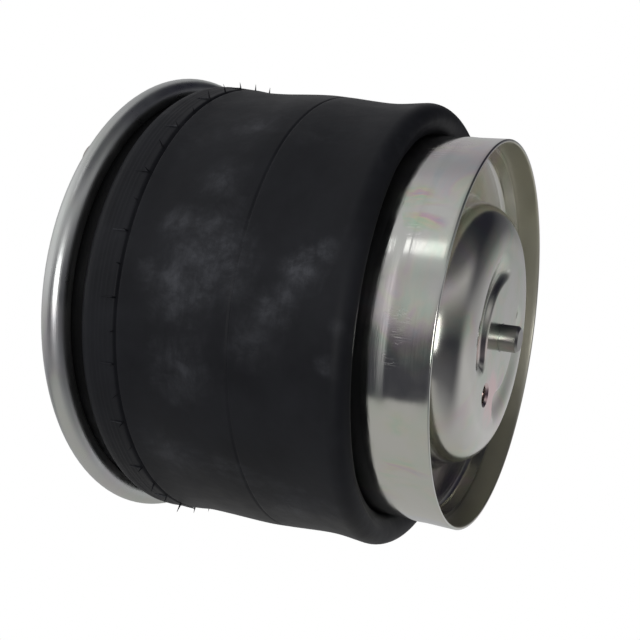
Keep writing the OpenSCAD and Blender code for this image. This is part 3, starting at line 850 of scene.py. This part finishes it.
# Thin pointed whiskers that stand out from the parting line
def spewTree():
    w = whisker
    tree, given, result = newShapeTree("spewRing", {
        "Count": intKind, "Radius": floatKind, "Height": floatKind, "Length": floatKind,
        "Thickness": floatKind, "Spread": floatKind, "Seed": intKind, "Material": materialKind})
    cone = addNode(tree, "GeometryNodeMeshCone", {
        "Vertices": w["sides"], "Side Segments": w["rings"], "Radius Top": w["tip"],
        "Radius Bottom": given["Thickness"], "Depth": given["Length"]})
    place = addNode(tree, "GeometryNodeInputPosition").outputs[0]
    outwards = addNode(tree, "FunctionNodeAlignEulerToVector", {"Vector": place}, axis="Z")
    lean = addNode(tree, "FunctionNodeRandomValue", {
        "Min": (-w["lean"], -w["lean"], 0.0), "Max": (w["lean"], w["lean"], w["twist"]),
        "Seed": given["Seed"]}, data_type="FLOAT_VECTOR")
    turned = addNode(tree, "FunctionNodeRotateEuler", {
        "Rotation": outwards.outputs[0], "Rotate By": lean.outputs["Value"],
    }, rotation_type="EULER", space="LOCAL")
    size = addNode(tree, "FunctionNodeRandomValue", {
        "Min": minus(tree, 1.0, given["Spread"]), "Max": w["longest"], "Seed": given["Seed"],
    }, data_type="FLOAT")
    ring = ringOfCopies(tree, given, cone.outputs["Mesh"], Rotation=turned.outputs[0], Scale=size.outputs[1])
    return finishTree(tree, ring, given, result)


spewRing = growMesh("ventSpews", spewTree(), dict(spews, Material=sleeveRubber), sleeveRubber)
keepRestPlace(spewRing)

vents = {"Count": 24, "Radius": 139.6 * mm, "Height": bellows["partingZ"] + 5.6 * mm, "Length": 8.5 * mm,
         "Width": 0.42 * mm, "Material": ventRubber}


# Short raised lines that cross the band beside the parting line
def ventTree():
    tree, given, result = newShapeTree("ventRing", {
        "Count": intKind, "Radius": floatKind, "Height": floatKind, "Length": floatKind, "Width": floatKind,
        "Material": materialKind})
    bar = addNode(tree, "GeometryNodeMeshCylinder", {
        "Vertices": 8, "Side Segments": 1, "Radius": given["Width"], "Depth": given["Length"]})
    return finishTree(tree, ringOfCopies(tree, given, bar.outputs["Mesh"]), given, result)


ventRing = growMesh("ventLines", ventTree(), vents, ventRubber)
print("spews and vents grown")


# Screw threads: a turned core with a ridge that winds up it
def threadTree():
    tree, given, result = newShapeTree("threadRidge", {
        "Turns": floatKind, "Radius": floatKind, "Length": floatKind, "Ridge": floatKind, "Place": vectorKind,
        "Material": materialKind})
    helix = addNode(tree, "GeometryNodeCurveSpiral", {
        "Resolution": 36, "Rotations": given["Turns"], "Start Radius": given["Radius"],
        "End Radius": given["Radius"], "Height": given["Length"]})
    section = addNode(tree, "GeometryNodeCurvePrimitiveCircle", {"Resolution": 4, "Radius": given["Ridge"]})
    swept = addNode(tree, "GeometryNodeCurveToMesh", {
        "Curve": helix.outputs[0], "Profile Curve": section.outputs["Curve"], "Fill Caps": True})
    return finishTree(tree, movedTo(tree, swept.outputs[0], given["Place"]), given, result)


threads = threadTree()
studs = {
    "combi": {"angle": -42, "radius": 13.5 * mm, "height": 33 * mm, "pitch": 2.0 * mm, "hole": 5.25 * mm,
              "holeDepth": 14 * mm, "air": 3.0 * mm},
    "plain": {"radius": 6 * mm, "height": 32 * mm, "pitch": 1.75 * mm}, "plainAngles": (108, 168),
    "circle": 104.5 * mm, "headFlange": 5 * mm, "headThick": 5 * mm, "plate": 2.5 * mm, "collar": 0.6 * mm,
    "collarTop": 0.2 * mm, "lead": 0.8 * mm, "axis": 0.02 * mm, "chamfer": 0.125, "tip": 0.6, "runOut": 2.2,
    "portPitch": 1.25 * mm, "portStart": 1.0 * mm, "portEnds": 2.4 * mm, "sides": 64, "sharp": 30.0,
}
# A ridge's half width in pitches, and how many half widths its middle lies behind a hole's wall
ridge = {"half": 0.42, "sunk": 0.4}
weldNut = {"radius": 5.1 * mm, "pitch": 1.75 * mm, "start": 0.6 * mm, "ends": 1.2 * mm}


def ridgeOn(name, place, radius, length, pitch, inward=False):
    half = pitch * ridge["half"]
    sizes = {"Turns": length / pitch, "Radius": radius + (half * ridge["sunk"] if inward else -half),
             "Length": length, "Ridge": half, "Place": place, "Material": threadZinc}
    return growMesh(name, threads, sizes, threadZinc)


def studSection(radius, height, pitch, hole, holeDepth, air):
    s = studs
    under, top = plateTop - s["plate"], plateTop + height
    head = under - s["headThick"]
    core, chamfer = radius - pitch / 2, radius * s["chamfer"]
    outer = [(radius + s["headFlange"], head), (radius + s["headFlange"], under),
             (radius + s["collar"], under), (radius + s["collar"], plateTop),
             (core, plateTop + s["collarTop"]), (core, top - chamfer), (core - chamfer * s["tip"], top)]
    if hole:
        return outer + [(hole + s["lead"], top), (hole, top - s["lead"]), (hole, top - holeDepth),
                        (air, top - holeDepth), (air, head)]
    return outer + [(s["axis"], top), (s["axis"], head)]


def joinPieces(parts, name):
    for other in bpy.context.selected_objects:
        other.select_set(False)
    for part in parts:
        part.select_set(True)
    bpy.context.view_layer.objects.active = parts[0]
    bpy.ops.object.join()
    parts[0].name = name
    return parts[0]


def makeStud(name, angle, radius, height, pitch, hole=0.0, holeDepth=0.0, air=0.0):
    s = studs
    place = polar(math.radians(angle), s["circle"])
    core = latheMesh(name, studSection(radius, height, pitch, hole, holeDepth, air), s["sides"])
    core.data.transform(Matrix.Translation(place))
    recalculateNormals(core)
    finishMesh(core, threadZinc, s["sharp"])
    start = place + Vector((0, 0, plateTop + pitch))
    parts = [core, ridgeOn(name + "Ridge", start, radius, height - s["runOut"] * pitch, pitch)]
    if hole:
        inner = place + Vector((0, 0, plateTop + height - holeDepth + s["portStart"]))
        length = holeDepth - s["portEnds"]
        parts.append(ridgeOn(name + "Port", inner, hole, length, s["portPitch"], inward=True))
    return joinPieces(parts, name)


combiStud = makeStud("combiStudThreaded", **studs["combi"])
plainStuds = joinPieces([makeStud(f"plainStud{i}", angle, **studs["plain"])
                         for i, angle in enumerate(studs["plainAngles"])], "plainStudsThreaded")
nutLow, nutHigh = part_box("base_weld_nut")
nutCentre = (nutLow + nutHigh) / 2
nutThread = ridgeOn("weldNutThread", Vector((nutCentre.x, nutCentre.y, nutLow.z + weldNut["start"])),
                    weldNut["radius"], nutHigh.z - nutLow.z - weldNut["ends"], weldNut["pitch"], inward=True)
print("threads cut")

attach(combiStud, "plate")
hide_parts("combi_stud")
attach(plainStuds, "plate")
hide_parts("mounting_studs")
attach(nutThread, "piston")
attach(spewRing, "plate")
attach(ventRing, "plate")
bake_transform(sleeve)
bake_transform(leg)
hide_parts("bellows")
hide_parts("bellows")
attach(pistonBase, "piston")
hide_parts("piston_base")
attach(pistonSkirt, "piston")
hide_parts("piston_skirt")

# Tones of the room as pairs of place along X and brightness, for what metal and rubber reflect.
# The ends of each change of tone are given along the axis that it runs on
studio = {
    "frontTop": ((-0.6, 0.15), (-0.3, 0.4), (0.0, 0.8), (0.4, 0.9), (0.8, 0.5)),
    "frontHigh": ((-0.5, 0.055), (-0.07, 0.06), (0.08, 0.42), (0.3, 0.5), (0.5, 0.44), (0.66, 0.6),
                  (0.85, 0.58), (1.0, 0.52)),
    "frontLow": ((-0.9, 0.40), (-0.55, 0.13), (-0.1, 0.03), (0.2, 0.16), (0.5, 0.48), (0.72, 0.12),
                 (1.0, 0.04)),
    "backHigh": ((0.1, 0.45), (0.7, 0.45), (0.95, 0.32)),
    "backLow": ((-0.9, 0.45), (-0.2, 0.58), (0.05, 0.38), (0.3, 0.12), (0.6, 0.02)),
    "cool": 0.01, "lowToHigh": (-0.05, 0.28), "highToTop": (0.37, 0.5), "frontToBack": (-0.1, 0.4),
    "table": (0.47, 0.465, 0.45, 1.0), "tableEdge": -0.615, "tableSoft": 0.02, "tableRise": (-0.6, -0.2),
    "softFront": (0.80, 0.80, 0.83, 1.0), "softBack": (0.30, 0.30, 0.30, 1.0), "backToFront": (0.3, -0.8),
    "softBelow": (0.20, 0.20, 0.20, 1.0), "towardsTable": (-0.1, -0.8),
    "softUnder": (0.10, 0.10, 0.11, 1.0), "downwards": (0.0, -0.7),
}


def toneRamp(tree, along, stops):
    ramp = addNode(tree, "ShaderNodeValToRGB", {"Fac": times(tree, plus(tree, along, 1.0), 0.5)})
    fillRamp(ramp, [((place + 1) / 2, (tone, tone, tone + studio["cool"], 1.0)) for place, tone in stops])
    return ramp.outputs["Color"]


# White for the camera, and a plain studio for what reflects: a table on one side and a dark room in front
def makeWorld():
    s = studio
    world = bpy.data.worlds.new("studio")
    world.use_nodes = True
    tree = world.node_tree
    tree.nodes.clear()
    direction = addNode(tree, "ShaderNodeTexCoord").outputs["Generated"]
    parts = addNode(tree, "ShaderNodeSeparateXYZ", {0: direction}).outputs
    x, y, z = parts["X"], parts["Y"], parts["Z"]
    high = rampBetween(tree, z, *s["lowToHigh"])
    front = mixColour(tree, high, toneRamp(tree, x, s["frontLow"]), toneRamp(tree, x, s["frontHigh"]))
    front = mixColour(tree, rampBetween(tree, z, *s["highToTop"]), front, toneRamp(tree, x, s["frontTop"]))
    back = mixColour(tree, high, toneRamp(tree, x, s["backLow"]), toneRamp(tree, x, s["backHigh"]))
    room = mixColour(tree, rampBetween(tree, y, *s["frontToBack"]), front, back)
    table = rampBetween(tree, x, s["tableEdge"] + s["tableSoft"], s["tableEdge"] - s["tableSoft"])
    table = times(tree, table, rampBetween(tree, z, *s["tableRise"]))
    seen = mixColour(tree, table, room, s["table"])
    soft = mixColour(tree, rampBetween(tree, y, *s["backToFront"]), s["softBack"], s["softFront"])
    soft = mixColour(tree, rampBetween(tree, x, *s["towardsTable"]), soft, s["softBelow"])
    soft = mixColour(tree, rampBetween(tree, z, *s["downwards"]), soft, s["softUnder"])
    path = addNode(tree, "ShaderNodeLightPath").outputs
    light = mixColour(tree, path["Is Glossy Ray"], soft, seen)
    light = mixColour(tree, path["Is Camera Ray"], light, white)
    background = addNode(tree, "ShaderNodeBackground", {"Color": light, "Strength": 1.0})
    output = addNode(tree, "ShaderNodeOutputWorld")
    tree.links.new(background.outputs[0], output.inputs[0])
    bpy.context.scene.world = world


lampAim = Vector((0.0, 0.0, 0.1))
lamps = {
    "patchBox": {"direction": (0.68, -0.69, 0.235), "distance": 1.5, "size": 0.20, "power": 0.115},
    "frontBox": {"direction": (-0.02, -0.93, -0.32), "distance": 1.5, "size": 0.6, "power": 5.4},
}


# A square lamp that faces the spring and that the camera doesn't see
def addLamp(name, direction, distance, size, power):
    data = bpy.data.lights.new(name, "AREA")
    data.energy = power
    data.size = size
    lamp = bpy.data.objects.new(name, data)
    back = Vector(direction).normalized()
    side = Vector((0.0, 0.0, 1.0)).cross(back).normalized()
    turn = Matrix((side, back.cross(side), back)).transposed().to_4x4()
    lamp.matrix_world = Matrix.Translation(lampAim + back * distance) @ turn
    lamp.visible_camera = False
    bpy.context.scene.collection.objects.link(lamp)


floorLook = {
    "z": cadBox[0].z - 1 * mm, "half": 3.0, "colour": (0.86, 0.86, 0.85, 1.0), "roughness": 0.9,
    "light": (1.0, 1.0, 0.99, 1.0), "glow": 0.45,
}


# A pale floor that only the camera sees, and only from above
def addFloor():
    f = floorLook
    corners = [(x * f["half"], y * f["half"], f["z"]) for x, y in ((-1, -1), (1, -1), (1, 1), (-1, 1))]
    mesh = bpy.data.meshes.new("floor")
    mesh.from_pydata(corners, [], [(0, 1, 2, 3)])
    floor = bpy.data.objects.new("floor", mesh)
    bpy.context.scene.collection.objects.link(floor)
    material, tree, shader = newMaterial(
        "paleFloor", Roughness=f["roughness"], Base_Color=f["colour"], Emission_Color=f["light"],
        Emission_Strength=f["glow"])
    path = addNode(tree, "ShaderNodeLightPath").outputs
    behind = addNode(tree, "ShaderNodeNewGeometry").outputs["Backfacing"]
    shown = times(tree, path["Is Camera Ray"], minus(tree, 1.0, behind))
    clear = addNode(tree, "ShaderNodeBsdfTransparent")
    mixed = addNode(tree, "ShaderNodeMixShader", {0: shown, 1: clear.outputs[0], 2: shader.outputs[0]})
    tree.links.new(mixed.outputs[0], tree.nodes["Material Output"].inputs["Surface"])
    mesh.materials.append(material)


makeWorld()
addFloor()
for lampName, lamp in lamps.items():
    addLamp(lampName, **lamp)
bpy.context.scene.view_settings.view_transform = "Standard"
print("studio set")
